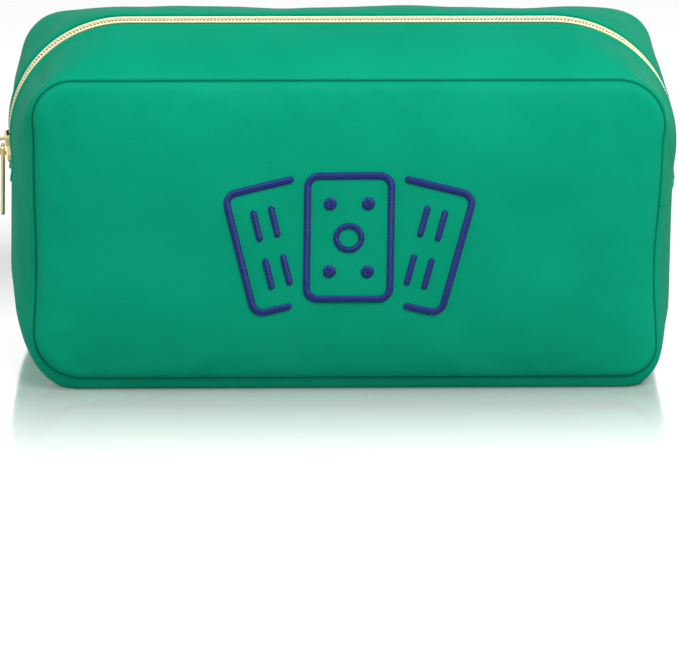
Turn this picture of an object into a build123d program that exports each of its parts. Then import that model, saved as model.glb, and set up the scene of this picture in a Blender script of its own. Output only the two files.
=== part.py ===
from build123d import *
import os
from functools import lru_cache
from math import ceil, cos, degrees, radians, sin

# Soft zip pouch for a mahjong set. Millimetres, +Z up, front towards -Y.
# The origin is the middle of the flat resting face under the bag.

# ---- driving dimensions ----
SEAM_WIDTH = 252.0        # front and back panels, side to side at the seam
SEAM_HEIGHT = 126.0       # front and back panels, bottom to top at the seam
SEAM_RADIUS = 20.0        # corners of the two panels
SEAM_LIFT = 4.5           # lowest point of the seams above the resting face
DEPTH = 90.0              # between the front seam and the back seam
SIDE_SWELL = 6.5          # how far the gusset swells past the seams, at each side
TOP_SWELL = 10.5          # the same, at the top
BOTTOM_SWELL = 11.0       # the same, underneath, before the bag's weight flattens it
SWELL_POWER = 2.2         # 2 is a plain parabola, more is flatter across the middle
ZIP_RADIUS = 46.0         # upper corners of the gusset, along the zipper
BASE_RADIUS = 38.0        # lower corners of the gusset, midway between the seams
LEAN = 8.0                # degrees that the sides turn in below their widest place
WAIST_RADIUS = 46.0       # the hollow curve that brings them upright again
PANEL_CROWN = 9.0         # how far each panel bulges past its seam
CROWN_REACH = 50.0        # distance from the seam at which a panel is fully crowned
CROWN_POWER = 2.5         # steepness of the crown beside the seam
CROWN_TIGHTENING = 0.3    # how fast the crown's corners tighten, away from the seam
SWELL_SHARES = (-1, -0.64, -0.3, 0, 0.3, 0.64, 1)    # depths at which the gusset is shaped
CROWN_SHARES = (0.0, 0.1, 0.32, 0.92)                # places at which a panel is shaped

NYLON = 0.8               # outer fabric
FOAM = 2.0                # padding behind it
LINING = 0.5              # inner fabric
PLY_GAP = 0.2             # bond line between two layers
ZIP_TAIL = 12.0           # from the slider's middle down to the side seams
BINDING_WIDTH = 7.0       # tape that binds the raw edges inside a panel seam
BINDING_THICKNESS = 1.2
CLEARANCE = 0.3           # between curved pieces of different bodies

TAPE_WIDTH = 7.5          # of each zipper tape
TAPE_THICKNESS = 0.6
TAPE_SPACING = 3.0        # between the inner edges of the two tapes
COIL_PITCH = 1.45         # from one loop to the next along one coil
LOOP_THICKNESS = 0.6      # of the filament, measured along the zipper
LOOP_LENGTH = 2.75        # across the zipper
LOOP_ROOT_HEIGHT = 1.3
LOOP_HEAD_HEIGHT = 0.9
ENGAGEMENT = 0.45         # how far a loop's head reaches past the middle of the chain
CORD_WIDTH = 0.75         # core cord that the loops are sewn down on
CORD_HEIGHT = 1.0
SEATING = 0.1             # between a loop, its tape and its cord
TAPE_TUCK = 7.0           # length of tape held below the side seams

SLIDER_LENGTH = 10.4
SLIDER_WALL = 0.9
SLIDER_SPREAD = 1.7       # how far the slider's post parts each coil from the middle
SLIDER_PLAY = 0.3         # between the chain and the slider's channel
BAIL_LENGTH = 7.2
BAIL_WIDTH = 2.0
BAIL_BAR = 0.9
PULL_LENGTH = 28.5        # from its pivot to its tip
PULL_WIDTH = 5.4
PULL_THICKNESS = 1.6
PULL_BAR = 1.2            # the bar of its eye, inside the bail
PULL_PLAY = 0.35          # between the pull and the bail's hole
EYE_PLAY = 0.5            # between the eye and each side of the bail
EYE_REACH = 0.9           # of the eye past the bail's foot
EDGE_ROUND = 0.3          # worn edges of the slider and pull

THREAD_WIDTH = 2.6        # satin-stitched outlines
THREAD_HEIGHT = 0.9
TILE_WIDTH = 36.0
TILE_HEIGHT = 54.0
TILE_CORNER = 6.0
TILE_TILT = 14.0          # degrees, of the two outer tiles
TILE_SPREAD = 27.0        # from the middle tile to an outer one

# ---- derived sizes ----
HALF_DEPTH = DEPTH / 2
HALF_LENGTH = SEAM_WIDTH / 2 + SIDE_SWELL
TOP_Z = SEAM_LIFT + SEAM_HEIGHT + TOP_SWELL
FOAM_IN = NYLON + PLY_GAP
LINING_IN = FOAM_IN + FOAM + PLY_GAP
CORE_IN = LINING_IN + LINING
TAPE_IN = NYLON + PLY_GAP
TAPE_EDGE = TAPE_SPACING / 2 + TAPE_WIDTH
LOOP_ROOT = ENGAGEMENT - LOOP_LENGTH
LOOP_BASE = SEATING - TAPE_IN
ARC_X = HALF_LENGTH - ZIP_RADIUS
ARC_Z = TOP_Z - ZIP_RADIUS
WAIST_Z = ARC_Z - ZIP_RADIUS * sin(radians(LEAN))    # the slider's middle
SIDE_SEAM_Z = WAIST_Z - ZIP_TAIL
BIG = 400.0

CHANNEL_LOW = -TAPE_IN - TAPE_THICKNESS - 2 * SLIDER_PLAY
CHANNEL_HIGH = LOOP_BASE + LOOP_ROOT_HEIGHT + 2 * SLIDER_PLAY
PLATE_TOP = CHANNEL_HIGH + SLIDER_WALL
BAIL_HOLE_HEIGHT = PULL_THICKNESS + 2 * PULL_PLAY
PIVOT_OUT = PLATE_TOP + BAIL_HOLE_HEIGHT / 2
EYE_LENGTH = BAIL_LENGTH / 2 + EYE_REACH
EYE_WIDTH = BAIL_WIDTH + 2 * EYE_PLAY
CHAIN_HALF = CORD_WIDTH + SEATING - LOOP_ROOT
REAR_HALF = CHAIN_HALF + SLIDER_PLAY + SLIDER_WALL
FRONT_HALF = REAR_HALF + SLIDER_SPREAD
HEM_Y = FRONT_HALF + 1.5 * CLEARANCE    # hems of the top gusset, beside the zipper
BEND = radians(90 + LEAN) * ZIP_RADIUS  # along the zipper, round one corner
RUN = 2 * BEND + 2 * ARC_X              # along the zipper, from waist to waist
ENTRY = SLIDER_LENGTH / 2 + CLEARANCE   # up from the slider's middle to the coils that part
TAIL = ZIP_TAIL - 2 * COIL_PITCH        # down from the slider's middle to the last loop
TAIL_Z = SIDE_SEAM_Z + CLEARANCE
PARTING = 1.0                           # up from there to where the coils begin to part
ENTRY_Z = ARC_Z - ZIP_RADIUS * sin(radians(LEAN) - ENTRY / ZIP_RADIUS)


# ---- the bag's outer form ----
def arc(cx, cz, r, start, end):
    """Arc in a section's own plane, from one angle in degrees to another."""
    angles = (start, (start + end) / 2, end)
    return ThreePointArc(*[(cx + r * cos(radians(a)), cz + r * sin(radians(a))) for a in angles])


def outline(y, half, top, low, r_top, r_low, r_waist):
    """Upright rounded outline with slightly waisted sides, as a face at depth y."""
    cx, cz = half - r_top, top - r_top
    wx, wz = cx + (r_top + r_waist) * cos(radians(LEAN)), cz - (r_top + r_waist) * sin(radians(LEAN))
    wall = wx - r_waist
    bx, bz = wall - r_low, low + r_low
    edges = [
        Line((-cx, top), (cx, top)),
        arc(cx, cz, r_top, 90, -LEAN),
        arc(wx, wz, r_waist, 180 - LEAN, 180),
        Line((wall, wz), (wall, bz)),
        arc(bx, bz, r_low, 0, -90),
        Line((bx, low), (-bx, low)),
        arc(-bx, bz, r_low, -90, -180),
        Line((-wall, bz), (-wall, wz)),
        arc(-wx, wz, r_waist, 0, LEAN),
        arc(-cx, cz, r_top, 180 + LEAN, 90),
    ]
    plane = Plane(origin=(0, y, 0), x_dir=(1, 0, 0), z_dir=(0, -1, 0))
    return plane * Face(Wire(edges))


def section(y, inset=0.0):
    """The gusset's outline at depth y, set in from the outer skin."""
    swell = 1 - abs(y / HALF_DEPTH) ** SWELL_POWER
    return outline(
        y,
        SEAM_WIDTH / 2 + SIDE_SWELL * swell - inset,
        SEAM_LIFT + SEAM_HEIGHT + TOP_SWELL * swell - inset,
        SEAM_LIFT - BOTTOM_SWELL * swell + inset,
        SEAM_RADIUS + (ZIP_RADIUS - SEAM_RADIUS) * swell - inset,
        SEAM_RADIUS + (BASE_RADIUS - SEAM_RADIUS) * swell - inset,
        WAIST_RADIUS + inset,
    )


def slab(y0, y1, z0, z1):
    """Block across the whole bag between two depths and two heights."""
    return Pos(0, (y0 + y1) / 2, (z0 + z1) / 2) * Box(BIG, y1 - y0, z1 - z0)


@lru_cache
def body(inset):
    """The bag's inside space at one layer: the swollen loft, cut flat underneath."""
    loose = loft([section(share * HALF_DEPTH, inset) for share in SWELL_SHARES])
    return loose & slab(-DEPTH, DEPTH, inset, BIG)


def skin(inset, thickness):
    """One layer of the gusset, all the way round."""
    return body(inset) - body(inset + thickness)


def pillow(inset):
    """Crowned space inside the front panel's layer at this inset, its rim on the seam's plane."""
    faces = []
    for share in CROWN_SHARES:
        d = share * CROWN_REACH
        rise = (PANEL_CROWN - inset) * (1 - (1 - share) ** CROWN_POWER)
        radius = SEAM_RADIUS - inset - CROWN_TIGHTENING * d
        faces.append(outline(
            -HALF_DEPTH - rise,
            SEAM_WIDTH / 2 - inset - d,
            SEAM_LIFT + SEAM_HEIGHT - inset - d,
            SEAM_LIFT + inset + d,
            radius,
            radius,
            WAIST_RADIUS + inset,
        ))
    return loft(faces)


def panel_layer(inset, thickness):
    """One layer of the front panel, its rim flat on the seam's plane."""
    return pillow(inset) - pillow(inset + thickness)


def seam_binding():
    """Flat ring that covers the raw edges just inside the front seam."""
    inset = CORE_IN + CLEARANCE
    ring = section(-HALF_DEPTH, inset) - section(-HALF_DEPTH, inset + BINDING_WIDTH)
    return Pos(0, PLY_GAP, 0) * extrude(ring, amount=BINDING_THICKNESS, dir=(0, 1, 0))


# ---- the zipper ----
def left_frame(s):
    """x, z and turn of the zipper's left half, at a distance up from the slider's middle."""
    px, pz = -ARC_X - ZIP_RADIUS * cos(radians(LEAN)), ARC_Z - ZIP_RADIUS * sin(radians(LEAN))
    if s > BEND:
        return s - BEND - ARC_X, TOP_Z, 90.0
    if s > 0:
        turn = degrees(s / ZIP_RADIUS) - LEAN
        return -ARC_X - ZIP_RADIUS * cos(radians(turn)), ARC_Z + ZIP_RADIUS * sin(radians(turn)), turn
    turn = max(LEAN + degrees(s / WAIST_RADIUS), 0)
    rest = min(s + radians(LEAN) * WAIST_RADIUS, 0)
    x = px + WAIST_RADIUS * (cos(radians(turn)) - cos(radians(LEAN)))
    z = pz + WAIST_RADIUS * (sin(radians(turn)) - sin(radians(LEAN)))
    return x, z + rest, -turn


def zipper_frame(s):
    """Frame on the zipper: -X points out of the bag, +Z along the zipper to the right."""
    if s > RUN / 2:
        x, z, turn = left_frame(RUN - s)
        return Location((-x, 0, z), (0, 180 - turn, 0))
    x, z, turn = left_frame(s)
    return Location((x, 0, z), (0, turn, 0))


def spread(s):
    """How far the slider and its post hold each coil from the middle, at a place s."""
    share = (PARTING - s) / (PARTING + SLIDER_LENGTH / 2)
    return SLIDER_SPREAD * min(max(share, 0), 1)


def loop(frame, side, aside):
    """One loop of a coil: a flattened wedge whose head reaches past the chain's middle."""
    root, head = LOOP_ROOT - aside, ENGAGEMENT - aside
    low, high = LOOP_BASE, LOOP_BASE + LOOP_ROOT_HEIGHT
    drop = (LOOP_ROOT_HEIGHT - LOOP_HEAD_HEIGHT) / 2
    corners = [(-low, root), (-high, root), (drop - high, head), (-drop - low, head)]
    profile = make_face(Polyline(*[(x, side * y) for x, y in corners], close=True))
    return frame * extrude(profile, amount=LOOP_THICKNESS / 2, both=True)


def loops(side, start, end):
    """Loops of one side (1 front, -1 back) between two places along the zipper."""
    half_pitches = round(RUN / COIL_PITCH) * 2
    step = RUN / half_pitches
    spare = 2 * ceil(TAIL / step)
    found = []
    first = 0 if side > 0 else 1
    for k in range(first - spare, half_pitches + spare, 2):
        s = k * step
        if start + LOOP_THICKNESS / 2 < s < end - LOOP_THICKNESS / 2:
            found.append(loop(zipper_frame(s), side, spread(s)))
    return found


def cord(side, plan):
    """Core cord beside a coil's roots, over an area of the bag's side view."""
    layer = body(-LOOP_BASE - CORD_HEIGHT) - body(-LOOP_BASE)
    area = extrude(plan, amount=BIG, both=True)
    return layer & area if side > 0 else mirror(layer & area, about=Plane.XZ)


def side_plan(points):
    """Face in the plane that looks along the bag, from (y, z) points."""
    return Plane.YZ * make_face(Polyline(*points, close=True))


def end_cord(side, x_side):
    """Core cord at one end of the zipper. The left one is parted by the slider's post."""
    outer, inner = -CHAIN_HALF, LOOP_ROOT - SEATING
    aside = SLIDER_SPREAD if x_side < 0 else 0.0
    _, z_tip, _ = left_frame(PARTING)
    _, z_low, _ = left_frame(-SLIDER_LENGTH / 2)
    plan = side_plan([
        (inner, ENTRY_Z), (inner, z_tip), (inner - aside, z_low), (inner - aside, TAIL_Z),
        (outer - aside, TAIL_Z), (outer - aside, z_low), (outer, z_tip), (outer, ENTRY_Z),
    ])
    half = Pos(x_side * BIG / 2, 0, 0) * Box(BIG, BIG, BIG * 2)
    return cord(side, plan) & half


def zipper_tape_end(x_side):
    """Both tapes from below the side seam up to where the halves of the bag part."""
    tape = skin(TAPE_IN, TAPE_THICKNESS) & slab(-TAPE_EDGE, -TAPE_SPACING / 2, SIDE_SEAM_Z - TAPE_TUCK, ENTRY_Z)
    tape = tape & (Pos(x_side * BIG / 2, 0, 0) * Box(BIG, BIG, BIG * 2))
    return [tape, mirror(tape, about=Plane.XZ)]


def slider_body():
    """Slider in its own frame: plates, post, flanges beside the coils, and the bail."""
    half, shoulder = SLIDER_LENGTH / 2, -SLIDER_LENGTH / 5

    def plan(rear, front, reach):
        points = [(rear, reach), (rear, PARTING), (front, shoulder), (front, -reach)]
        return points + [(-y, z) for y, z in reversed(points)]

    outer = side_plan(plan(REAR_HALF, FRONT_HALF, half))
    outer = fillet(outer.vertices().group_by(Axis.Z)[0] + outer.vertices().group_by(Axis.Z)[-1], SLIDER_WALL)
    channel = side_plan(plan(REAR_HALF - SLIDER_WALL, FRONT_HALF - SLIDER_WALL, 2 * half))
    top = Pos(-PLATE_TOP, 0, 0) * extrude(outer, amount=SLIDER_WALL)
    top = fillet(top.faces().sort_by(Axis.X)[0].edges(), EDGE_ROUND)
    bottom = Pos(-CHANNEL_LOW, 0, 0) * extrude(outer, amount=SLIDER_WALL)
    bottom = fillet(bottom.faces().sort_by(Axis.X)[-1].edges(), EDGE_ROUND)
    flange_height = CHANNEL_HIGH + TAPE_IN - CLEARANCE
    flanges = Pos(-CHANNEL_HIGH, 0, 0) * extrude(outer - channel, amount=flange_height)
    taken = ENGAGEMENT + SLIDER_PLAY
    widest = spread(-0.8 * half) - taken
    tip = PARTING - taken / SLIDER_SPREAD * (PARTING + half)
    post_plan = side_plan([
        (0, tip), (widest, -0.8 * half), (0.5 * widest, -half), (-0.5 * widest, -half), (-widest, -0.8 * half),
    ])
    post = Pos(-CHANNEL_HIGH, 0, 0) * extrude(post_plan, amount=CHANNEL_HIGH - CHANNEL_LOW)
    return top + bottom + flanges + post + bail()


def bail():
    """Arch on the slider's top plate, with the hole that the pull hangs in."""
    height = BAIL_HOLE_HEIGHT + BAIL_BAR
    arch = Pos(-PLATE_TOP - height / 2, 0, 0) * Box(height, BAIL_WIDTH, BAIL_LENGTH)
    crown = arch.edges().filter_by(Axis.Y).group_by(Axis.X)[0]
    arch = fillet(crown, 0.5 * height)
    hole = Pos(-PIVOT_OUT, 0, 0) * Box(BAIL_HOLE_HEIGHT, 2 * BAIL_WIDTH, BAIL_LENGTH - 2 * BAIL_BAR)
    return arch - fillet(hole.edges().filter_by(Axis.Y), 0.3 * BAIL_HOLE_HEIGHT)


def pull_tab():
    """Flat bar that hangs from its own pivot, with an eye round the bail."""
    end = PULL_THICKNESS / 2
    bar = Pos(0, 0, (end - PULL_LENGTH) / 2) * Box(PULL_THICKNESS, PULL_WIDTH, PULL_LENGTH + end)
    bar = fillet(bar.edges().filter_by(Axis.X), 0.3 * PULL_WIDTH)
    bar = fillet(bar.edges().filter_by(Axis.Y).group_by(Axis.Z)[-1], 0.49 * PULL_THICKNESS)
    slot_top = 2 * end
    slot = Pos(0, 0, (slot_top - EYE_LENGTH) / 2) * Box(2 * PULL_WIDTH, EYE_WIDTH, EYE_LENGTH + slot_top)
    pin = Rot(90, 0, 0) * Cylinder(PULL_BAR / 2, (EYE_WIDTH + PULL_WIDTH) / 2)
    return bar - slot + pin


# ---- the embroidery ----
def tile_motif():
    """Flat pattern of three fanned tile outlines with plain dots and bars on their faces."""
    card = RectangleRounded(TILE_WIDTH, TILE_HEIGHT, TILE_CORNER)
    inside = RectangleRounded(
        TILE_WIDTH - 2 * THREAD_WIDTH, TILE_HEIGHT - 2 * THREAD_WIDTH, TILE_CORNER - THREAD_WIDTH
    )
    margin = RectangleRounded(
        TILE_WIDTH + 1.4 * THREAD_WIDTH, TILE_HEIGHT + 1.4 * THREAD_WIDTH, TILE_CORNER + 0.7 * THREAD_WIDTH
    )
    ring = Circle(0.17 * TILE_WIDTH) - Circle(0.17 * TILE_WIDTH - 0.8 * THREAD_WIDTH)
    dots = [Pos(x * 0.19 * TILE_WIDTH, z * 0.26 * TILE_HEIGHT) * Circle(0.07 * TILE_WIDTH)
            for x in (-1, 1) for z in (-1, 1)]
    stick = RectangleRounded(THREAD_WIDTH, 0.26 * TILE_HEIGHT, 0.45 * THREAD_WIDTH)
    sticks = [Pos(x * 0.2 * TILE_WIDTH, z * 0.19 * TILE_HEIGHT) * stick for x in (-1, 0, 1) for z in (-1, 1)]
    faces = [card - inside] + sticks
    pattern = []
    for lean in (-1, 1):
        place = Pos(lean * TILE_SPREAD, -0.06 * TILE_HEIGHT) * Rot(0, 0, -lean * TILE_TILT)
        pattern += [(place * face) - margin for face in faces]
    return pattern + [card - inside, ring] + dots


def tile_embroidery():
    """Raised bands of the motif, laid on the front panel's crown."""
    layer = pillow(-SEATING - THREAD_HEIGHT) - pillow(-SEATING)
    plane = Plane(origin=(0, -DEPTH, SEAM_LIFT + SEAM_HEIGHT / 2), x_dir=(1, 0, 0), z_dir=(0, -1, 0))
    bands = []
    for shape in tile_motif():
        for face in shape.faces():
            bands += (layer & extrude(plane * face, amount=-HALF_DEPTH)).solids()
    return bands


# ---- the nodes ----
def save(name, solids):
    """Write one node as parts/NAME.step."""
    found = [s for shape in solids for s in shape.solids()]
    export_step(Compound(children=found) if len(found) > 1 else found[0], f"parts/{name}.step")


def save_pair(name, front):
    """Write a front piece and its mirror image at the back."""
    save(name.format("front"), [front])
    save(name.format("back"), [mirror(front, about=Plane.XZ)])


def main():
    os.makedirs("parts", exist_ok=True)

    layers = {"": (0.0, NYLON), "_foam": (FOAM_IN, FOAM), "_lining": (LINING_IN, LINING)}
    hem = {"": HEM_Y, "_foam": TAPE_EDGE + CLEARANCE, "_lining": HEM_Y + CLEARANCE}
    side_top = {"": SIDE_SEAM_Z, "_foam": SIDE_SEAM_Z - TAPE_TUCK - CLEARANCE, "_lining": SIDE_SEAM_Z}
    for suffix, (inset, thickness) in layers.items():
        layer = skin(inset, thickness)
        save("bottom_gusset" + suffix, [layer & slab(-DEPTH, DEPTH, -1, side_top[suffix])])
        save_pair("top_gusset_{}" + suffix, layer & slab(-DEPTH, -hem[suffix], SIDE_SEAM_Z, BIG))
        save_pair("{}_panel" + suffix, panel_layer(inset, thickness))
    save_pair("{}_seam_binding", seam_binding())

    save_pair("zipper_tape_{}", skin(TAPE_IN, TAPE_THICKNESS) & slab(-TAPE_EDGE, -TAPE_SPACING / 2, ENTRY_Z, BIG))
    straight = side_plan([(y, z) for y, z in (
        (-CHAIN_HALF, ENTRY_Z), (LOOP_ROOT - SEATING, ENTRY_Z), (LOOP_ROOT - SEATING, BIG), (-CHAIN_HALF, BIG)
    )])
    save("zipper_coil_front", [cord(1, straight)] + loops(1, ENTRY, RUN - ENTRY))
    save("zipper_coil_back", [cord(-1, straight)] + loops(-1, ENTRY, RUN - ENTRY))
    save("zipper_tapes_left_end", zipper_tape_end(-1))
    save("zipper_tapes_right_end", zipper_tape_end(1))
    for name, x_side in (("left", -1), ("right", 1)):
        start, end = (-TAIL, ENTRY) if x_side < 0 else (RUN - ENTRY, RUN + TAIL)
        coils = [end_cord(side, x_side) for side in (1, -1)] + loops(1, start, end) + loops(-1, start, end)
        save(f"zipper_coils_{name}_end", coils)

    rest = zipper_frame(0)
    save("slider_body", [rest * slider_body()])
    pivot = (rest * Pos(-PIVOT_OUT, 0, 0)).position
    save("pull_tab", [Pos(pivot) * pull_tab()])
    save("tile_embroidery", tile_embroidery())


main()
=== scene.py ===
import math

import bmesh
import bpy
import numpy as np
from mathutils import Matrix, Vector, noise
from mathutils.bvhtree import BVHTree
from mathutils.kdtree import KDTree


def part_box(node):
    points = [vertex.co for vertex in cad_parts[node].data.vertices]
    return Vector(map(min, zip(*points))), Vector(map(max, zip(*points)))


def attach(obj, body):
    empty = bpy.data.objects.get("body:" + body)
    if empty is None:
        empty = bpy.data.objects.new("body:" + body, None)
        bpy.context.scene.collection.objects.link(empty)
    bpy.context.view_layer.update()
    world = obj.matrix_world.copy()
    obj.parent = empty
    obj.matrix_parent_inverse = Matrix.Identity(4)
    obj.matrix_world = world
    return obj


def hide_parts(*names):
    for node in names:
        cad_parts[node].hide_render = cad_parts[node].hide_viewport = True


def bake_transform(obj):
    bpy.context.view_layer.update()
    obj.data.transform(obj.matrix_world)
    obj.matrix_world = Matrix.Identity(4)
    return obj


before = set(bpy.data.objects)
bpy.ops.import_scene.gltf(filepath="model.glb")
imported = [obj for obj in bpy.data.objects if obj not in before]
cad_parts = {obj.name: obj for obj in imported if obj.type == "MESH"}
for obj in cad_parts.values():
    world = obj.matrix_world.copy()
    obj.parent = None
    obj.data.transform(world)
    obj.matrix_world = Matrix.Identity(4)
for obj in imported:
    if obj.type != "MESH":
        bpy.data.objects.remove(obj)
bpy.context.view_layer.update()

bpy.context.scene.view_settings.view_transform = "Standard"

# ---------------------------------------------------------------------------
# Front and back panels. Each is one cut of green nylon twill over foam, sewn
# all round to the gusset, so that it crowns outwards and turns in at its seam.
# ---------------------------------------------------------------------------
low_corner, high_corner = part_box("front_panel")
seam_half = high_corner[0]
seam_top, seam_low = high_corner[2], low_corner[2]
seam_y = -high_corner[1]
crown = -seam_y - low_corner[1]
crown_reach = 0.050
front_radii = {"upper left": 0.0155, "upper right": 0.019, "lower left": 0.020, "lower right": 0.013}
back_radii = {"upper left": 0.0155, "upper right": 0.013, "lower left": 0.020, "lower right": 0.013}
seam_waist = {"left": 0.0014, "right": 0.0024}
zip_radii = {"left": 0.046, "right": 0.050}
base_radii = {"left": 0.046, "right": 0.038}
waist_radius = 0.046
lean = 8.0
side_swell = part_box("zipper_tapes_left_end")[0][0] * -1 + 0.001 - seam_half
top_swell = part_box("zipper_tape_front")[1][2] + 0.001 - seam_top
base_swell = 0.011
swell_power, under_power, crown_power = 2.2, 8, 2.5
waist_height, waist_spread = 0.052, 0.028
side_seam_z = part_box("bottom_gusset")[1][2]
nylon, foam_in, foam_out, lining_in, lining_out = 0.0008, 0.0010, 0.0026, 0.0032, 0.0037
across_count, up_count, down_count = 100, 36, 40
# Both cloths turn in beside the stitches, so that a narrow groove follows the seam.
seam_fold, seam_recess, seam_roll = 0.0014, 0.0012, 0.0007
panel_roll, corner_ease = 0.0012, 0.002


def arc(cx, cz, r, start, end):
    """Points on an arc between two angles in degrees."""
    turns = np.radians(np.linspace(start, end, 24))
    return np.stack([cx + r * np.cos(turns), cz + r * np.sin(turns)], 1)


def spaced(points, count):
    """The same line with its points evenly spaced along it."""
    points = np.asarray(points, float)
    run = np.concatenate([[0], np.cumsum(np.linalg.norm(np.diff(points, axis=0), axis=1))])
    wanted = np.linspace(0, run[-1], count + 1)
    return np.stack([np.interp(wanted, run, points[:, k]) for k in (0, 1)], 1)


def half_ring(half, top, low, r_top, r_low, r_waist):
    """Right half of the bag's outline, from the middle of the top to the middle underneath."""
    tilt = math.radians(lean)
    cx, cz = half - r_top, top - r_top
    wx, wz = cx + (r_top + r_waist) * math.cos(tilt), cz - (r_top + r_waist) * math.sin(tilt)
    bx, bz = wx - r_waist - r_low, low + r_low
    over = np.concatenate([[(0, top)], arc(cx, cz, r_top, 90, 45)])
    side = np.concatenate([
        arc(cx, cz, r_top, 45, -lean), arc(wx, wz, r_waist, 180 - lean, 180), arc(bx, bz, r_low, 0, -45)
    ])
    under = np.concatenate([arc(bx, bz, r_low, -45, -90), [(0, low)]])
    at = np.argmax(side[:, 1] < side_seam_z)
    share = (side[at - 1, 1] - side_seam_z) / (side[at - 1, 1] - side[at, 1])
    corner = side[at - 1] + share * (side[at] - side[at - 1])
    upper = spaced(np.concatenate([side[:at], [corner]]), up_count)
    lower = spaced(np.concatenate([[corner], side[at:]]), down_count)
    over, under = spaced(over, across_count), spaced(under, across_count)
    return np.concatenate([over[:-1], upper[:-1], lower[:-1], under])


def ring(y, inset):
    """The bag's whole outline at depth y, clockwise from the middle underneath, as points in space."""
    share = min(abs(y) / (seam_y - seam_recess), 1)
    swell = 1 - share ** swell_power
    under_swell = 1 - share ** under_power
    fold = seam_fold * math.exp(-max(seam_y - seam_recess - abs(y), 0) / seam_roll)
    depth = inset + fold
    radii = front_radii if y < 0 else back_radii
    halves = []
    for side in ("left", "right"):
        r_top = radii["upper " + side] * (1 - swell) + zip_radii[side] * swell - inset
        r_low = radii["lower " + side] * (1 - swell) + base_radii[side] * swell - inset
        half = half_ring(
            seam_half + side_swell * swell - depth, seam_top + top_swell * swell - depth,
            seam_low - base_swell * under_swell + depth, r_top, r_low, waist_radius + inset,
        )
        pulled = seam_waist[side] * (1 - swell) * np.exp(-((half[:, 1] - waist_height) / waist_spread) ** 2)
        half[:, 0] -= pulled * np.clip(half[:, 0] / 0.1 - 0.2, 0, 1)
        halves.append(half)
    left, right = halves
    flat = np.concatenate([left[::-1] * (-1, 1), right[1:]])
    flat[:, 1] = np.maximum(flat[:, 1], inset)
    return np.stack([flat[:, 0], np.full(len(flat), y), flat[:, 1]], 1)


def ripple(point, size, seed):
    """Smooth noise between about -1 and 1 at a place on the cloth."""
    return noise.noise(Vector(point) / size + Vector((seed, 2.7 * seed, -seed)))


def panel_slack(x, z, edge, sign):
    """How far the panel's cloth stands off its even crown: soft dents, puckers and creases."""
    away = 1 - math.exp(-edge / 0.004)
    slack = 0.0009 * ripple((x, sign, z), 0.06, 1) + 0.0004 * ripple((x, sign, z), 0.022, 2)
    pucker = math.exp(-((seam_half - abs(x)) / 0.018) ** 2) * ripple((x * 3.0, sign, z * 0.8), 0.012, 3)
    hem = math.exp(-edge / 0.011) * ripple((x, sign, z), 0.0075, 4)
    return away * (slack + 0.0007 * pucker + 0.0007 * hem)


def from_border(points, border):
    """Distance of each point on the face from the nearest place on its border."""
    run = np.roll(border, -1, 0) - border
    offset = points[:, None] - border[None]
    share = np.clip((offset * run).sum(2) / (run ** 2).sum(1), 0, 1)
    return np.linalg.norm(offset - share[:, :, None] * run, axis=2).min(1)


def panel_skin(sign):
    """Outer face of the front (1) or back (-1) panel, as rings from the seam to a line along its middle."""
    border = (ring(-seam_y, 0) if sign > 0 else ring(seam_y, 0) * (1, -1, 1))[:-1]
    middle_z = (seam_top + seam_low) / 2
    reach = np.interp(np.arange(across_count + 1), (0, across_count), (0, seam_half / 2))
    side = np.full(up_count + down_count - 1, seam_half / 2)
    half = np.concatenate([reach, side, reach[::-1]])
    core = np.zeros_like(border)
    core[:, 0] = np.concatenate([-half[:-1], half[:-1]])
    core[:, 1:] = border[0, 1], middle_z
    close = (0, 0.0015, 0.003, 0.005, 0.0075, 0.011, 0.016, 0.023, 0.033, 0.047)
    shares = np.concatenate([close, np.linspace(0.065, 1, 34)])
    grid = border + (core - border) * shares[:, None, None]
    across = np.clip((seam_half - np.abs(grid[:, :, 0])) / crown_reach, 0, 1)
    along = np.clip(np.minimum(seam_top - grid[:, :, 2], grid[:, :, 2] - seam_low) / crown_reach, 0, 1)
    rise = (1 - (1 - across) ** crown_power) * (1 - (1 - along) ** crown_power)
    for row, lift in zip(grid, rise):
        apart = from_border(row[:, (0, 2)], border[:, (0, 2)])
        lift *= 1 - np.exp(-apart / corner_ease)
        roll = panel_roll - (panel_roll + seam_recess) * np.exp(-apart / seam_roll)
        row[:, 1] = -seam_y - roll - (crown - panel_roll) * lift
        row[:, 1] -= [panel_slack(x, z, gap, sign) for (x, _, z), gap in zip(row, apart)]
    return grid * (1, sign, 1)


def sunk(grid, depth, sign):
    """The same skin, a depth further into the bag."""
    normals = np.cross(np.gradient(grid, axis=0), np.roll(grid, -1, 1) - np.roll(grid, 1, 1))
    normals[-1] = (0, 1, 0)
    normals /= np.linalg.norm(normals, axis=2, keepdims=True)
    return grid + normals * np.sign(normals[:, :, 1:2] * sign) * depth


def thinned(grid, stride, closed=False):
    """Every so many rows and columns of a grid, with the last ones kept, but for the columns of closed rings."""
    rows, cols = [np.unique(np.append(np.arange(0, size, stride), size - 1)) for size in grid.shape[:2]]
    return grid[rows][:, cols[:-1] if closed and stride > 1 else cols]


def closed_mesh(name, points, faces, places):
    """Object with a closed mesh, its faces outwards and a UV map in metres."""
    mesh = bpy.data.meshes.new(name)
    mesh.from_pydata(points, [], faces)
    layer = mesh.uv_layers.new(name="cloth")
    for loop in mesh.loops:
        layer.data[loop.index].uv = places[loop.vertex_index]
    shell = bmesh.new()
    shell.from_mesh(mesh)
    bmesh.ops.remove_doubles(shell, verts=shell.verts, dist=1e-6)
    bmesh.ops.recalc_face_normals(shell, faces=shell.faces)
    shell.to_mesh(mesh)
    shell.free()
    piece = bpy.data.objects.new(name, mesh)
    bpy.context.collection.objects.link(piece)
    bpy.ops.object.select_all(action="DESELECT")
    piece.select_set(True)
    bpy.context.view_layer.objects.active = piece
    bpy.ops.object.shade_smooth_by_angle(angle=math.radians(50))
    return piece


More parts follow.
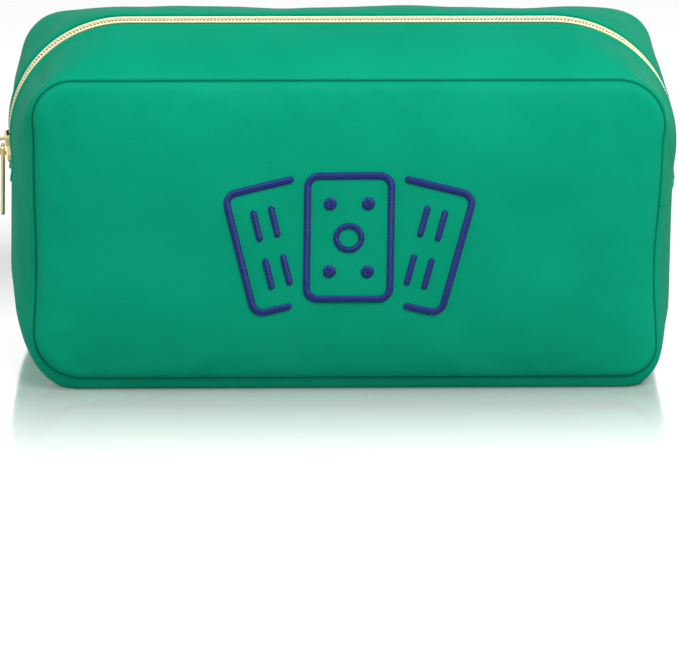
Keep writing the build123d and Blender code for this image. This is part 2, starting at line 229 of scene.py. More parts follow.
def layer_piece(name, outer, inner, closed=False):
    """Thin piece of cloth or foam between two grids: open strips, or closed rings about a middle line."""
    rows, cols = outer.shape[:2]
    count = rows * cols
    index = np.arange(count).reshape(rows, cols)
    if closed:
        index = np.concatenate([index, index[:, :1]], 1)
        rim = index[0, :-1]
        places = outer[:, :, (0, 2)]
    else:
        rim = np.concatenate([index[0], index[1:, -1], index[-1, -2::-1], index[-2:0:-1, 0]])
        along, over = np.zeros((rows, cols)), np.zeros((rows, cols))
        along[:, 1:] = np.cumsum(np.linalg.norm(np.diff(outer, axis=1), axis=2), axis=1)
        over[1:] = np.cumsum(np.linalg.norm(np.diff(outer, axis=0), axis=2), axis=0)
        places = np.stack([along - along[:, cols // 2][:, None], over - over[rows // 2][None]], -1)
    quads = np.stack([index[:-1, :-1], index[:-1, 1:], index[1:, 1:], index[1:, :-1]], -1).reshape(-1, 4)
    walls = np.stack([rim, np.roll(rim, -1), np.roll(rim, -1) + count, rim + count], -1)
    faces = np.concatenate([quads, quads[:, ::-1] + count, walls]).tolist()
    points = np.concatenate([outer.reshape(-1, 3), inner.reshape(-1, 3)]).tolist()
    return closed_mesh(name, points, faces, np.tile(places.reshape(-1, 2), (2, 1)).tolist())


def srgb(red, green, blue):
    """A colour given as it looks on a screen, as the shader wants it."""
    shares = [c / 255 for c in (red, green, blue)]
    return [s / 12.92 if s <= 0.04045 else ((s + 0.055) / 1.055) ** 2.4 for s in shares] + [1]


def cloth_material(name, dark, pale, rough, twill, relief, sheen):
    """Woven cloth: diagonal ribs, a finer thread across them, and slow changes of shade."""
    material = bpy.data.materials.new(name)
    material.use_nodes = True
    nodes, links = material.node_tree.nodes, material.node_tree.links
    shader = nodes["Principled BSDF"]
    place = nodes.new("ShaderNodeUVMap")
    place.uv_map = "cloth"
    turned = nodes.new("ShaderNodeMapping")
    turned.inputs["Rotation"].default_value = (0, 0, math.radians(52))
    links.new(place.outputs["UV"], turned.inputs["Vector"])
    ribs = nodes.new("ShaderNodeTexWave")
    ribs.inputs["Scale"].default_value = 0.314 / twill
    ribs.inputs["Distortion"].default_value = 0.6
    ribs.inputs["Detail"].default_value = 1
    links.new(turned.outputs["Vector"], ribs.inputs["Vector"])
    fine = nodes.new("ShaderNodeTexNoise")
    fine.inputs["Scale"].default_value = 0.9 / twill
    fine.inputs["Detail"].default_value = 2
    links.new(place.outputs["UV"], fine.inputs["Vector"])
    weave = nodes.new("ShaderNodeMix")
    weave.inputs[0].default_value = 0.4
    links.new(ribs.outputs["Fac"], weave.inputs[2])
    links.new(fine.outputs["Fac"], weave.inputs[3])
    bump = nodes.new("ShaderNodeBump")
    bump.inputs["Strength"].default_value = 0.55
    bump.inputs["Distance"].default_value = relief
    links.new(weave.outputs[0], bump.inputs["Height"])
    links.new(bump.outputs["Normal"], shader.inputs["Normal"])
    cloud = nodes.new("ShaderNodeTexNoise")
    cloud.inputs["Scale"].default_value = 28
    cloud.inputs["Detail"].default_value = 4
    links.new(place.outputs["UV"], cloud.inputs["Vector"])
    shade = nodes.new("ShaderNodeMix")
    shade.inputs[0].default_value = 0.65
    links.new(cloud.outputs["Fac"], shade.inputs[2])
    links.new(weave.outputs[0], shade.inputs[3])
    ramp = nodes.new("ShaderNodeValToRGB")
    ramp.color_ramp.elements[0].position, ramp.color_ramp.elements[0].color = 0.3, dark
    ramp.color_ramp.elements[1].position, ramp.color_ramp.elements[1].color = 0.7, pale
    links.new(shade.outputs[0], ramp.inputs["Fac"])
    # Painted shade: the cloth beside the stitches is darkened towards a deep green, standing in for the shade in
    # the seam's groove.
    painted_shade_mask = nodes.new("ShaderNodeAttribute")
    painted_shade_mask.attribute_name = "painted_seam_shade"
    painted_shade_mix = nodes.new("ShaderNodeMix")
    painted_shade_mix.data_type = "RGBA"
    painted_shade_mix.inputs[7].default_value = [0.22 * c for c in dark[:3]] + [1]
    links.new(painted_shade_mask.outputs["Fac"], painted_shade_mix.inputs[0])
    links.new(ramp.outputs["Color"], painted_shade_mix.inputs[6])
    links.new(painted_shade_mix.outputs[2], shader.inputs["Base Color"])
    shader.inputs["Roughness"].default_value = rough
    shader.inputs["IOR"].default_value = 1.07
    shader.inputs["Sheen Weight"].default_value = sheen
    shader.inputs["Sheen Roughness"].default_value = 0.35
    shader.inputs["Sheen Tint"].default_value = pale
    return material


def finish_with(piece, material):
    """Give a piece its material."""
    piece.data.materials.clear()
    piece.data.materials.append(material)


# The seam lines, from which the painted shade beside the stitches is measured.
seam_samples = 3000
seam_tree = KDTree(2 * seam_samples)
for k, y in enumerate((-seam_y, seam_y)):
    loop_line = ring(y, 0)
    loop_steps = np.linspace(0, 1, len(loop_line))
    wanted = np.linspace(0, 1, seam_samples)
    dense = np.stack([np.interp(wanted, loop_steps, loop_line[:, axis]) for axis in range(3)], 1)
    for j, point in enumerate(dense):
        seam_tree.insert(point + (0, math.copysign(seam_recess, -y), 0), k * seam_samples + j)
seam_tree.balance()
# Painted shade beside the seam: how dark it is, and how far from the stitches it fades.
painted_shade_strength, painted_shade_width = 0.75, 0.0007


def mark_painted_seam_shade(piece):
    """Mark the cloth beside the stitches with painted shade, which the material darkens to stand in for the
    shade in the seam's groove.
    """
    apart = [seam_tree.find(v.co)[2] for v in piece.data.vertices]
    values = [painted_shade_strength * math.exp(-(gap / painted_shade_width) ** 2) for gap in apart]
    piece.data.attributes.new("painted_seam_shade", "FLOAT", "POINT").data.foreach_set("value", values)


# The halves of the bag part from the top of the slider upwards: the height where they part, and the top of the
# bag over the zipper.
part_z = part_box("zipper_coil_front")[0][2]
top_z = seam_top + top_swell


def bend_with(piece):
    """Bake a soft piece's placement into its mesh."""
    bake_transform(piece)


nylon_twill = cloth_material(
    "green_nylon_twill", srgb(4, 134, 102), srgb(12, 156, 120),
    rough=0.45, twill=0.0006, relief=0.00004, sheen=0.0,
)
foam_white = cloth_material(
    "foam_padding", srgb(196, 196, 188), srgb(214, 214, 206),
    rough=0.9, twill=0.0016, relief=0.0002, sheen=0.0,
)
lining_green = cloth_material(
    "green_lining", srgb(24, 128, 78), srgb(44, 156, 100),
    rough=0.5, twill=0.0005, relief=0.00006, sheen=0.2,
)
panel_skins = {"front": panel_skin(1), "back": panel_skin(-1)}
# The padding and lining stop short of the stitches, so that the seam stays thin.
for side, sign in (("front", 1), ("back", -1)):
    layers = (
        ("panel_cloth", side + "_panel", 0.0, nylon, nylon_twill, "nylon", 1),
        ("panel_padding", side + "_panel_foam", foam_in, foam_out, foam_white, "foam", 3),
        ("panel_lining", side + "_panel_lining", lining_in, lining_out, lining_green, "lining", 2),
    )
    for label, node, outer, inner, material, slot, stride in layers:
        skin = panel_skins[side][0 if outer == 0 else 9:]
        sheets = [thinned(sunk(skin, inset, sign), stride, closed=True) for inset in (outer, inner)]
        piece = layer_piece(side + "_" + label, *sheets, closed=True)
        finish_with(piece, material)
        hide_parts(node)
        bend_with(piece)
        # The outer cloth gets painted shade beside the seam.
        if outer == 0:
            mark_painted_seam_shade(piece)

# ---------------------------------------------------------------------------
# Gusset. The top strip is in two halves with a folded, stitched hem each side
# of the zipper. The bottom strip runs under the bag and up to the side seams,
# where the top strip laps over it. Both are nylon over foam, with a lining.
# ---------------------------------------------------------------------------
hem_y = 0.0063
hem_height, hem_width = 0.0005, 0.0042
tape_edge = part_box("zipper_tape_front")[0][1] * -1
lap_height = 0.0006


def gusset_rows(sign, y_to):
    """Depths of the gusset's rows, closer together beside the seam and the hem."""
    start, span = seam_y - seam_recess, seam_y - seam_recess - y_to
    beside_seam = np.array([0, 0.2, 0.4, 0.65, 0.95, 1.3, 1.8, 2.4, 3.2, 4.2, 5.4]) / 1000
    beside_hem = np.array([5.2, 4.5, 4.1, 3.7, 3.1, 2.3, 1.5, 0.8, 0.3, 0]) / 1000
    between = np.linspace(beside_seam[-1], span - beside_hem[0], 24)[1:-1]
    return sign * (start - np.concatenate([beside_seam, between, span - beside_hem]))


# Creases across the strip at its two upper corners: degrees round the corner, and depth.
corner_creases = {"left": ((36, 0.0006),), "right": ((22, 0.0012), (44, 0.0007))}


def gusset_slack(point):
    """How far the gusset's cloth stands off its even form."""
    x, y, z = point
    corner = math.degrees(math.atan2(z - (seam_top - 0.035), abs(x) - (seam_half - 0.045)))
    creases = 0.0
    for turn, depth in corner_creases["right" if x > 0 else "left"]:
        across = (corner - turn) / 4
        fold = 0.5 * math.exp(-((across - 1.8) ** 2)) - math.exp(-(across ** 2))
        creases += fold * depth * (1 if y < 0 else 0.3)
    from_seam = seam_y - abs(y)
    calm = min(from_seam / 0.008, 1) * min(max((abs(y) - 0.010) / 0.012, 0), 1)
    under = min(max(z / 0.004, 0), 1)
    slack = 0.0011 * ripple((x, y, z), 0.045, 5) + 0.0005 * ripple((x, y, z), 0.016, 6)
    return calm * under * (slack + creases)


def gusset_grid(depths, inset, first, last, hem=False, lap=0.0):
    """Grid of points on one layer of the gusset, between two places round its outline."""
    rings = np.array([ring(y, inset) for y in depths])[:, first:last]
    along = np.gradient(rings, axis=1)
    out = np.stack([-along[:, :, 2], np.zeros(rings.shape[:2]), along[:, :, 0]], -1)
    out /= np.linalg.norm(out, axis=2, keepdims=True) + 1e-12
    lift = np.array([[gusset_slack(point) for point in row] for row in rings])
    if hem:
        away = np.abs(depths) - hem_y
        ridge = hem_height * np.clip(np.sin(np.pi * np.clip(away / hem_width, 0, 1)), 0, 1) ** 0.6
        stitch = -0.0003 * np.exp(-((away - hem_width) / 0.0005) ** 2)
        lift += (ridge + stitch)[:, None]
    if lap:
        from_end = np.minimum(np.arange(last - first), np.arange(last - first)[::-1]) * 0.0013
        lift += (lap * np.exp(-(from_end / 0.0024) ** 2))[None]
    placed = rings + out * lift[:, :, None]
    placed[:, :, 2] = np.maximum(placed[:, :, 2], inset)
    return placed


ring_points = 2 * (2 * across_count + up_count + down_count) + 1
seam_left = across_count + down_count
seam_right = ring_points - 1 - seam_left
for side, sign in (("front", -1), ("back", 1)):
    for label, suffix, outer, inner, material, slot, stride, edge in (
        ("cloth", "", 0.0, nylon, nylon_twill, "nylon", 1, hem_y),
        ("padding", "_foam", foam_in, foam_out, foam_white, "foam", 3, tape_edge + 0.0003),
        ("lining", "_lining", lining_in, lining_out, lining_green, "lining", 2, hem_y + 0.0005),
    ):
        depths = gusset_rows(sign, edge)
        outside = label == "cloth"
        span = (seam_left, seam_right + 1, outside, outside * lap_height)
        sheets = [thinned(gusset_grid(depths, inset, *span), stride) for inset in (outer, inner)]
        piece = layer_piece(side + "_top_gusset_" + label, *sheets)
        # The outer cloth gets painted shade beside the seam.
        if outside:
            mark_painted_seam_shade(piece)
        finish_with(piece, material)
        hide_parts("top_gusset_" + side + suffix)
        bend_with(piece)

for side, sign in (("front", -1), ("back", 1)):
    for label, suffix, outer, inner, material, slot, stride in (
        ("cloth", "", 0.0, nylon, nylon_twill, "nylon", 1),
        ("padding", "_foam", foam_in, foam_out, foam_white, "foam", 3),
        ("lining", "_lining", lining_in, lining_out, lining_green, "lining", 2),
    ):
        depths = gusset_rows(sign, 0)
        lower = []
        for inset in (outer, inner):
            left = gusset_grid(depths, inset, 0, seam_left + 1)
            right = gusset_grid(depths, inset, seam_right, ring_points)[:, :-1]
            lower.append(thinned(np.concatenate([right, left], 1), stride))
        piece = layer_piece(side + "_bottom_gusset_" + label, *lower)
        # The outer cloth gets painted shade beside the seam.
        if label == "cloth":
            mark_painted_seam_shade(piece)
        finish_with(piece, material)
        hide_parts("bottom_gusset" + suffix)
        bend_with(piece)

# ---------------------------------------------------------------------------
# Zipper. Two woven tapes under the hems, each with a coil of pale gold nylon
# sewn down over a core cord. The loops of one coil stand between those of the
# other, and the last stretch at each end stays with the side seams.
# ---------------------------------------------------------------------------
tape_in, tape_thickness, tape_gap = 0.0010, 0.0006, 0.0015
loop_length, loop_height, thread = 0.00275, 0.0013, 0.0006
engagement = 0.00045
pitch = 0.00145
slider_spread, parting, slider_half = 0.0017, 0.0010, 0.0052
half_length = seam_half + side_swell
bend_run = {side: math.radians(90 + lean) * zip_radii[side] for side in zip_radii}
corner_x = {side: half_length - zip_radii[side] for side in zip_radii}
zip_run = sum(bend_run.values()) + sum(corner_x.values())
slider_reach = slider_half + 0.0003
zip_entry = {"left": slider_reach}
right_rise = (part_z - top_z + zip_radii["right"]) / zip_radii["right"]
zip_entry["right"] = zip_radii["right"] * (math.radians(lean) + math.asin(right_rise))
tail_run = {"left": 0.0116, "right": 0.0070}


def end_place(s, side):
    """x, z and turn in degrees of the zipper at a distance up from its waist, as at the left."""
    tilt, radius = math.radians(lean), zip_radii[side]
    cx, cz = -corner_x[side], top_z - radius
    if s > bend_run[side]:
        return s - bend_run[side] + cx, top_z, 90.0
    if s > 0:
        turn = s / radius - tilt
        return cx - radius * math.cos(turn), cz + radius * math.sin(turn), math.degrees(turn)
    turn = max(tilt + s / waist_radius, 0)
    rest = min(s + tilt * waist_radius, 0)
    x = cx - radius * math.cos(tilt) + waist_radius * (math.cos(turn) - math.cos(tilt))
    z = cz - radius * math.sin(tilt) + waist_radius * (math.sin(turn) - math.sin(tilt))
    return x, z + rest, -math.degrees(turn)


def zip_place(s):
    """Placement on the zipper: -X points out of the bag and +Z runs along it to the right."""
    if s > bend_run["left"] + corner_x["left"]:
        x, z, turn = end_place(zip_run - s, "right")
        x, turn = -x, 180 - turn
    else:
        x, z, turn = end_place(s, "left")
    return Matrix.Translation((x, 0, z)) @ Matrix.Rotation(math.radians(turn), 4, "Y")


def spread_at(s):
    """How far the slider's post holds each coil from the middle."""
    return slider_spread * min(max((parting - s) / (parting + slider_half), 0), 1)


def strip_piece(name, stations, section, aside=0.0):
    """Closed strip that follows the zipper. Its section is a list of (out, across) points."""
    count = len(section)
    points = []
    for s in stations:
        shift = math.copysign(spread_at(s) if aside else 0.0, aside or 1)
        points += [zip_place(s) @ Vector((-out, across + shift, 0)) for out, across in section]
    faces = []
    for k in range(len(stations) - 1):
        for j in range(count):
            a, b = k * count + j, k * count + (j + 1) % count
            faces.append((a, b, b + count, a + count))
    last = (len(stations) - 1) * count
    faces += [tuple(range(count))[::-1], tuple(range(last, last + count))]
    return closed_mesh(name, points, faces, [(s, across) for s in stations for _, across in section])


bpy.ops.object.select_all(action="DESELECT")
bpy.ops.mesh.primitive_torus_add(
    major_radius=loop_height / 2 - thread / 2, minor_radius=thread / 2, major_segments=12, minor_segments=6
)
one_loop = bpy.context.object
bpy.ops.object.mode_set(mode="EDIT")
bpy.ops.mesh.select_all(action="SELECT")
stretched = loop_length / loop_height
bpy.ops.transform.resize(value=(1, stretched, 1), center_override=(0, 0, 0))
bpy.ops.object.mode_set(mode="OBJECT")
loop_points = np.array([v.co for v in one_loop.data.vertices])
loop_faces = np.array([p.vertices for p in one_loop.data.polygons])
bpy.data.objects.remove(one_loop)
loop_out = tape_in - 0.0001 - loop_height / 2


def coil_piece(name, side, start, end):
    """Loops of one coil between two places on the zipper, joined as one piece."""
    steps = round(zip_run / pitch) * 2
    sign = 1 if side == "front" else -1
    points, faces = [], []
    for k in range((0 if sign > 0 else 1) - 20, steps + 20, 2):
        s = k * zip_run / steps
        if not start <= s < end:
            continue
        middle = sign * (engagement - loop_length / 2 - spread_at(s))
        moved = loop_points + (loop_out, middle, 0)
        placement = np.array(zip_place(s))
        faces.append(loop_faces + len(points) * len(loop_points))
        points.append(moved @ placement[:3, :3].T + placement[:3, 3])
    mesh = bpy.data.meshes.new(name)
    mesh.from_pydata(np.concatenate(points).tolist(), [], np.concatenate(faces).tolist())
    mesh.shade_smooth()
    piece = bpy.data.objects.new(name, mesh)
    bpy.context.collection.objects.link(piece)
    return piece


def smooth_material(name, color, rough, relief, metal=0.0):
    """Smooth plastic or metal with faint uneven shine."""
    material = bpy.data.materials.new(name)
    material.use_nodes = True
    nodes, links = material.node_tree.nodes, material.node_tree.links
    shader = nodes["Principled BSDF"]
    place = nodes.new("ShaderNodeTexCoord")
    grain = nodes.new("ShaderNodeTexNoise")
    grain.inputs["Scale"].default_value = 900
    grain.inputs["Detail"].default_value = 3
    links.new(place.outputs["Object"], grain.inputs["Vector"])
    tone = nodes.new("ShaderNodeValToRGB")
    tone.color_ramp.elements[0].color = [c * 0.86 for c in color[:3]] + [1]
    tone.color_ramp.elements[1].color = color
    links.new(grain.outputs["Fac"], tone.inputs["Fac"])
    links.new(tone.outputs["Color"], shader.inputs["Base Color"])
    worn = nodes.new("ShaderNodeMapRange")
    worn.inputs["To Min"].default_value = rough * 0.85
    worn.inputs["To Max"].default_value = rough * 1.2
    links.new(grain.outputs["Fac"], worn.inputs["Value"])
    links.new(worn.outputs["Result"], shader.inputs["Roughness"])
    bump = nodes.new("ShaderNodeBump")
    bump.inputs["Strength"].default_value = 0.3
    bump.inputs["Distance"].default_value = relief
    links.new(grain.outputs["Fac"], bump.inputs["Height"])
    links.new(bump.outputs["Normal"], shader.inputs["Normal"])
    shader.inputs["Metallic"].default_value = metal
    return material


coil_gold = smooth_material("pale_gold_coil", srgb(250, 240, 196), 0.35, 0.00002)
tape_green = cloth_material(
    "green_zipper_tape", srgb(10, 112, 84), srgb(20, 134, 102),
    rough=0.6, twill=0.0006, relief=0.0001, sheen=0.1,
)
cord_half = (loop_length - engagement + 0.0001, loop_length - engagement + 0.00085)
round_cord = [
    (math.sin(turn) * 0.0005, math.cos(turn) * 0.000375) for turn in np.radians(np.arange(0, 360, 45))
]
left_split, right_split = zip_entry["left"], zip_run - zip_entry["right"]
stretches = {
    "middle": (left_split, right_split),
    "left": (-tail_run["left"], left_split),
    "right": (right_split, zip_run + tail_run["right"]),
}
for side, place in ((side, place) for side in ("front", "back") for place in stretches):
    start, end = stretches[place]
    sign = -1 if side == "front" else 1
    label = side if place == "middle" else place + "_end_" + side
    tape_node = "zipper_tape_" + side if place == "middle" else "zipper_tapes_" + place + "_end"
    coil_node = "zipper_coil_" + side if place == "middle" else "zipper_coils_" + place + "_end"
    tuck = 0 if place == "middle" else 0.0100
    tape_from = start - (tuck if place == "left" else 0)
    tape_to = end + (tuck if place == "right" else 0)
    stations = np.linspace(tape_from, tape_to, max(int((tape_to - tape_from) / 0.0015), 4))
    top, under = -tape_in, -tape_in - tape_thickness
    near, far = sign * tape_gap, sign * tape_edge
    section = [(top, near), (top, far), (under, far), (under, near)]
    tape = strip_piece("zipper_tape_" + label, stations, section)
    finish_with(tape, tape_green)
    stations = np.linspace(start, end, max(int((end - start) / 0.0010), 4))
    middle = (cord_half[0] + cord_half[1]) / 2
    section = [(out - tape_in + 0.0006, sign * middle + across) for out, across in round_cord]
    cord = strip_piece("coil_cord_" + label, stations, section, aside=sign)
    coil = coil_piece("coil_" + label, side, start, end)
    for piece in (cord, coil):
        finish_with(piece, coil_gold)
    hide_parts(tape_node)
    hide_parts(coil_node)
    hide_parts(coil_node)
    for piece in (tape, cord, coil):
        if place == "middle":
            bend_with(piece)
        else:
            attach(piece, "bag_base")

# ---------------------------------------------------------------------------
# Binding. A flat woven tape that covers the raw edges just inside each seam.
# ---------------------------------------------------------------------------
binding_width, binding_thickness = 0.0070, 0.0012
for side, sign in (("front", 1), ("back", -1)):
    insets = (lining_out + 0.0003, lining_out + 0.0003 + binding_width)
    levels = (-seam_y + 0.0002, -seam_y + 0.0002 + binding_thickness)
    loops_of_ring = []
    for which, level in ((0, 0), (1, 0), (1, 1), (0, 1)):
        inset, y = insets[which], levels[level]
        edge = ring(-seam_y, inset - seam_fold)[:-1:3]
        edge[:, 1] = y
        loops_of_ring.append(edge * (1, sign, 1))
    count = len(loops_of_ring[0])
    points = np.concatenate(loops_of_ring)
    index = np.arange(4 * count).reshape(4, count)
    faces = [
        (index[k, j], index[k, (j + 1) % count], index[(k + 1) % 4, (j + 1) % count], index[(k + 1) % 4, j])
        for k in range(4) for j in range(count)
    ]
    places = [(step * 0.004, band * 0.003) for band in range(4) for step in range(count)]
    faces = [[int(v) for v in face] for face in faces]
    binding = closed_mesh(side + "_binding", points.tolist(), faces, places)
    finish_with(binding, tape_green)
    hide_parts(side + "_seam_binding")
    bend_with(binding)

# ---------------------------------------------------------------------------
# Slider and pull. Both are cast zinc, plated pale gold and polished. The bar
# of the pull's eye hangs in the slider's bail.
# ---------------------------------------------------------------------------
plated_gold = smooth_material("pale_gold_plating", srgb(236, 214, 158), 0.22, 0.00001, metal=1.0)
for node in ("slider_body", "pull_tab"):
    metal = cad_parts[node]
    for slot in metal.material_slots:
        slot.material = plated_gold

# ---------------------------------------------------------------------------
# Embroidery. Navy satin stitch: bands of thread laid side by side, domed over
# their padding, following the panel's crown.
# ---------------------------------------------------------------------------
thread_width, thread_height = 0.0030, 0.0010
tile_width, tile_height, tile_corner = 0.036, 0.054, 0.006
tile_tilt, tile_spread, tile_drop = 14.0, 0.027, 0.00324
motif_z = (seam_top + seam_low) / 2
stitch_step = 0.0006

front_mesh = bpy.data.objects["front_panel_cloth"].data
panel_faces = [list(p.vertices) for p in front_mesh.polygons]
panel_tree = BVHTree.FromPolygons([v.co for v in front_mesh.vertices], panel_faces)


def card_outline(width, height, corner):
    """Points round a tile's rounded outline, about its middle, evenly spaced."""
    corners = []
    for sx, sz, start in ((1, 1, 0), (-1, 1, 90), (-1, -1, 180), (1, -1, 270)):
        turns = np.radians(np.linspace(start, start + 90, 9))
        cx, cz = sx * (width / 2 - corner), sz * (height / 2 - corner)
        corners.append(np.stack([cx + corner * np.cos(turns), cz + corner * np.sin(turns)], 1))
    closed = np.concatenate(corners + [corners[0][:1]])
    return spaced(closed, int(2 * (width + height) / stitch_step))


def turned(points, side):
    """A drawing moved and tilted to the place of an outer tile."""
    lean_by = -side * math.radians(tile_tilt)
    spin = np.array([[math.cos(lean_by), -math.sin(lean_by)], [math.sin(lean_by), math.cos(lean_by)]])
    return points @ spin.T + (side * tile_spread, -tile_drop)


def on_panel(x, z, height):
    """Point on the front panel's cloth, stood off by a height."""
    hit, normal, _, _ = panel_tree.ray_cast(Vector((x, -0.2, z)), Vector((0, 1, 0)))
    outwards = 1 if normal.y < 0 else -1
    return hit - Vector((0, 1, 0)) * height + Vector((normal.x, 0, normal.z)) * height * outwards


band_points, band_faces, band_places = [], [], []
section_steps = np.linspace(-1, 1, 9)


def stitch_band(line, closed, width):
    """Add one domed band of satin stitch along a line on the panel."""
    line = np.asarray(line)
    ahead = np.roll(line, -1, 0) - np.roll(line, 1, 0) if closed else np.gradient(line, axis=0)
    ahead /= np.linalg.norm(ahead, axis=1, keepdims=True)
    run = np.concatenate([[0], np.cumsum(np.linalg.norm(np.diff(line, axis=0), axis=1))])
    first, rows = len(band_points), len(line)
    for k in range(rows):
        from_end = 1.0 if closed else min(run[k], run[-1] - run[k]) / (width / 2)
        narrow = math.sqrt(max(1 - (1 - min(from_end, 1)) ** 2, 0.02))
        for share in section_steps:
            reach = share * width / 2 * narrow
            x, z = line[k, 0] - ahead[k, 1] * reach, line[k, 1] + ahead[k, 0] * reach
            dome = thread_height * narrow * max(1 - abs(share) ** 3, 0) ** 0.6 - 0.0001
            band_points.append(on_panel(x, z + motif_z, dome))
            band_places.append((run[k], reach))
    count = len(section_steps)
    for k in range(rows if closed else rows - 1):
        after = (k + 1) % rows
        for j in range(count - 1):
            a, b = first + k * count + j, first + after * count + j
            band_faces.append((a, a + 1, b + 1, b))
        band_faces.append((first + k * count, first + after * count, first + after * count + count - 1,
                           first + k * count + count - 1))
    if not closed:
        band_faces.append(tuple(range(first, first + count))[::-1])
        last = first + (rows - 1) * count
        band_faces.append(tuple(range(last, last + count)))


def straight(x, z, length):
    """Upright bar on a tile's face."""
    return np.stack([np.full(21, x), np.linspace(z - length / 2, z + length / 2, 21)], 1)


def circle(x, z, radius, count=48):
    """Round line on a tile's face."""
    turns = np.linspace(0, 2 * math.pi, count, endpoint=False)
    return np.stack([x + radius * np.cos(turns), z + radius * np.sin(turns)], 1)


middle_card = card_outline(
    tile_width - thread_width, tile_height - thread_width, tile_corner - thread_width / 2
)
stitch_band(middle_card[:-1], True, thread_width)
stitch_band(circle(0, 0, 0.0050), True, 0.8 * thread_width)
for x in (-0.0075, 0.0075):
    for z in (-0.0140, 0.0140):
        stitch_band(circle(x, z, 0.0010, 20), True, 0.0034)

margin = thread_width * 1.2
for side in (-1, 1):
    outer_card = turned(middle_card, side)
    behind = np.abs(outer_card) < (tile_width / 2 + margin, tile_height / 2 + margin)
    hidden = behind[:, 0] & behind[:, 1]
    start = int(np.argmax(hidden))
    order = np.roll(np.arange(len(outer_card) - 1), -start)
    shown = [k for k in order if not hidden[k]]
    stitch_band(outer_card[shown], False, thread_width)
    for x in (-0.0072, 0, 0.0072):
        for z in (-0.0103, 0.0103):
            bar = turned(straight(x, z, 0.0135), side)
            if np.min(np.abs(bar[:, 0])) > tile_width / 2 + margin:
                stitch_band(bar, False, 0.9 * thread_width)

motif = closed_mesh("stitched_tiles", band_points, band_faces, band_places)

navy = bpy.data.materials.new("navy_satin_stitch")
navy.use_nodes = True
stitch_nodes, stitch_links = navy.node_tree.nodes, navy.node_tree.links
stitch_shader = stitch_nodes["Principled BSDF"]
stitch_place = stitch_nodes.new("ShaderNodeUVMap")
stitch_place.uv_map = "cloth"
slant = stitch_nodes.new("ShaderNodeMapping")
slant.inputs["Rotation"].default_value = (0, 0, math.radians(12))
stitch_links.new(stitch_place.outputs["UV"], slant.inputs["Vector"])
threads = stitch_nodes.new("ShaderNodeTexWave")
threads.inputs["Scale"].default_value = 0.314 / 0.00055
threads.inputs["Distortion"].default_value = 0.8
threads.inputs["Detail"].default_value = 2
stitch_links.new(slant.outputs["Vector"], threads.inputs["Vector"])
stitch_bump = stitch_nodes.new("ShaderNodeBump")
stitch_bump.inputs["Strength"].default_value = 0.8
stitch_bump.inputs["Distance"].default_value = 0.00015
stitch_links.new(threads.outputs["Fac"], stitch_bump.inputs["Height"])
stitch_links.new(stitch_bump.outputs["Normal"], stitch_shader.inputs["Normal"])
stitch_tone = stitch_nodes.new("ShaderNodeValToRGB")
stitch_tone.color_ramp.elements[0].color = srgb(4, 16, 78)
stitch_tone.color_ramp.elements[1].color = srgb(24, 46, 132)
stitch_links.new(threads.outputs["Fac"], stitch_tone.inputs["Fac"])
stitch_links.new(stitch_tone.outputs["Color"], stitch_shader.inputs["Base Color"])
stitch_shader.inputs["Roughness"].default_value = 0.36
stitch_shader.inputs["Specular IOR Level"].default_value = 0.25
finish_with(motif, navy)
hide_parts("tile_embroidery")
bend_with(motif)

# ---------------------------------------------------------------------------
# Studio. A gloss white floor, whose mirror image of the bag fades out with
# distance, under a white sky, with three soft lamps and one camera.
# ---------------------------------------------------------------------------
bpy.ops.object.select_all(action="DESELECT")
bpy.ops.mesh.primitive_plane_add(size=8, location=(0, 0, -0.0002))
floor = bpy.context.object
floor.name = "studio_floor"
gloss_white = bpy.data.materials.new("gloss_white_floor")
gloss_white.use_nodes = True
gloss_nodes, gloss_links = gloss_white.node_tree.nodes, gloss_white.node_tree.links
gloss_shader = gloss_nodes["Principled BSDF"]
gloss_place = gloss_nodes.new("ShaderNodeTexCoord")
gloss_wear = gloss_nodes.new("ShaderNodeTexNoise")
gloss_wear.inputs["Scale"].default_value = 6
gloss_links.new(gloss_place.outputs["Object"], gloss_wear.inputs["Vector"])
gloss_range = gloss_nodes.new("ShaderNodeMapRange")
gloss_range.inputs["To Min"].default_value = 0.10
gloss_range.inputs["To Max"].default_value = 0.14
gloss_links.new(gloss_wear.outputs["Fac"], gloss_range.inputs["Value"])
gloss_links.new(gloss_range.outputs["Result"], gloss_shader.inputs["Roughness"])
gloss_ray = gloss_nodes.new("ShaderNodeLightPath")
gloss_tone = gloss_nodes.new("ShaderNodeMix")
gloss_tone.data_type = "RGBA"
gloss_tone.inputs[6].default_value = (0.40, 0.40, 0.40, 1)
gloss_tone.inputs[7].default_value = (0.97, 0.97, 0.97, 1)
gloss_links.new(gloss_ray.outputs["Is Camera Ray"], gloss_tone.inputs[0])
gloss_links.new(gloss_tone.outputs[2], gloss_shader.inputs["Base Color"])
gloss_glow = gloss_nodes.new("ShaderNodeMapRange")
gloss_glow.inputs["To Max"].default_value = 0.14
gloss_links.new(gloss_ray.outputs["Is Camera Ray"], gloss_glow.inputs["Value"])
gloss_links.new(gloss_glow.outputs["Result"], gloss_shader.inputs["Emission Strength"])
gloss_shader.inputs["Emission Color"].default_value = (1, 1, 1, 1)
gloss_split = gloss_nodes.new("ShaderNodeSeparateXYZ")
gloss_links.new(gloss_place.outputs["Object"], gloss_split.inputs[0])
gloss_depth = gloss_nodes.new("ShaderNodeMath")
gloss_depth.operation = "ABSOLUTE"
gloss_links.new(gloss_split.outputs["Y"], gloss_depth.inputs[0])
gloss_fade = gloss_nodes.new("ShaderNodeMapRange")
mirror_from, mirror_to, mirror_share = 0.046, 0.128, 0.74
mirror_range = (("From Min", mirror_from), ("From Max", mirror_to), ("To Min", mirror_share), ("To Max", 0.0))
for socket, value in mirror_range:
    gloss_fade.inputs[socket].default_value = value
gloss_links.new(gloss_depth.outputs[0], gloss_fade.inputs["Value"])
gloss_links.new(gloss_fade.outputs["Result"], gloss_shader.inputs["Metallic"])
floor.data.materials.append(gloss_white)

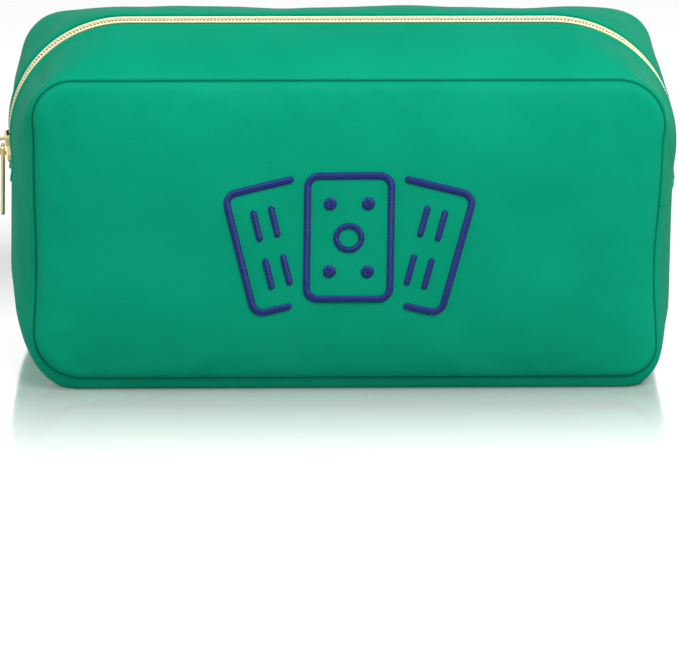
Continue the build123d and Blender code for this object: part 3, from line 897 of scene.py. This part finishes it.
world = bpy.data.worlds.new("studio")
bpy.context.scene.world = world
world.use_nodes = True
sky_nodes, sky_links = world.node_tree.nodes, world.node_tree.links
sky_nodes.clear()
sky_out = sky_nodes.new("ShaderNodeOutputWorld")
seen, lit = sky_nodes.new("ShaderNodeBackground"), sky_nodes.new("ShaderNodeBackground")
seen.inputs["Strength"].default_value = 1.0
lit.inputs["Strength"].default_value = 0.26
for shade in (seen, lit):
    shade.inputs["Color"].default_value = (1, 1, 1, 1)
ray = sky_nodes.new("ShaderNodeLightPath")
seen_ray = ray.outputs["Is Camera Ray"]
for kind in ("Is Glossy Ray", "Is Transmission Ray"):
    either = sky_nodes.new("ShaderNodeMath")
    either.operation = "MAXIMUM"
    sky_links.new(seen_ray, either.inputs[0])
    sky_links.new(ray.outputs[kind], either.inputs[1])
    seen_ray = either.outputs[0]
choice = sky_nodes.new("ShaderNodeMixShader")
sky_links.new(seen_ray, choice.inputs["Fac"])
sky_links.new(lit.outputs[0], choice.inputs[1])
sky_links.new(seen.outputs[0], choice.inputs[2])
sky_links.new(choice.outputs[0], sky_out.inputs["Surface"])


def soft_lamp(name, place, target, size, power):
    """Square soft lamp that faces a point."""
    lamp = bpy.data.lights.new(name, "AREA")
    lamp.shape = "SQUARE"
    lamp.size = size
    lamp.energy = power
    stand = bpy.data.objects.new(name, lamp)
    stand.location = place
    stand.rotation_euler = (Vector(target) - Vector(place)).to_track_quat("-Z", "Y").to_euler()
    bpy.context.collection.objects.link(stand)


middle = (0, 0, 0.07)
soft_lamp("high_front", (0.35, -0.80, 1.12), middle, 0.6, 19.0)
soft_lamp("left_side", (-1.3, -0.3, 0.6), middle, 0.6, 7.5)
soft_lamp("right_side", (1.3, -0.4, 0.6), middle, 0.6, 4.5)

camera_turn, camera_rise, camera_roll, camera_distance = -3.37, 18.46, -0.9, 3.96
metres_per_pixel = 0.00039901
image_width, image_height = 679, 667
middle_column, middle_row = 341.5, 193.0
lens = bpy.data.cameras.new("front_view")
viewer = bpy.data.objects.new("front_view", lens)
bpy.context.collection.objects.link(viewer)
aim = Vector((0.0, 0.0, 0.068))
turn, rise = math.radians(camera_turn), math.radians(camera_rise)
away = Vector((math.sin(turn) * math.cos(rise), -math.cos(turn) * math.cos(rise), math.sin(rise)))
viewer.location = aim + away * camera_distance
upright = (-away).to_track_quat("-Z", "Y").to_matrix()
viewer.rotation_euler = (upright @ Matrix.Rotation(math.radians(-camera_roll), 3, "Z")).to_euler()
lens.sensor_width = 36
lens.lens = lens.sensor_width * camera_distance / (metres_per_pixel * image_width)
lens.shift_x = (image_width / 2 - middle_column) / image_width
lens.shift_y = (middle_row - image_height / 2) / image_width
bpy.context.scene.camera = viewer
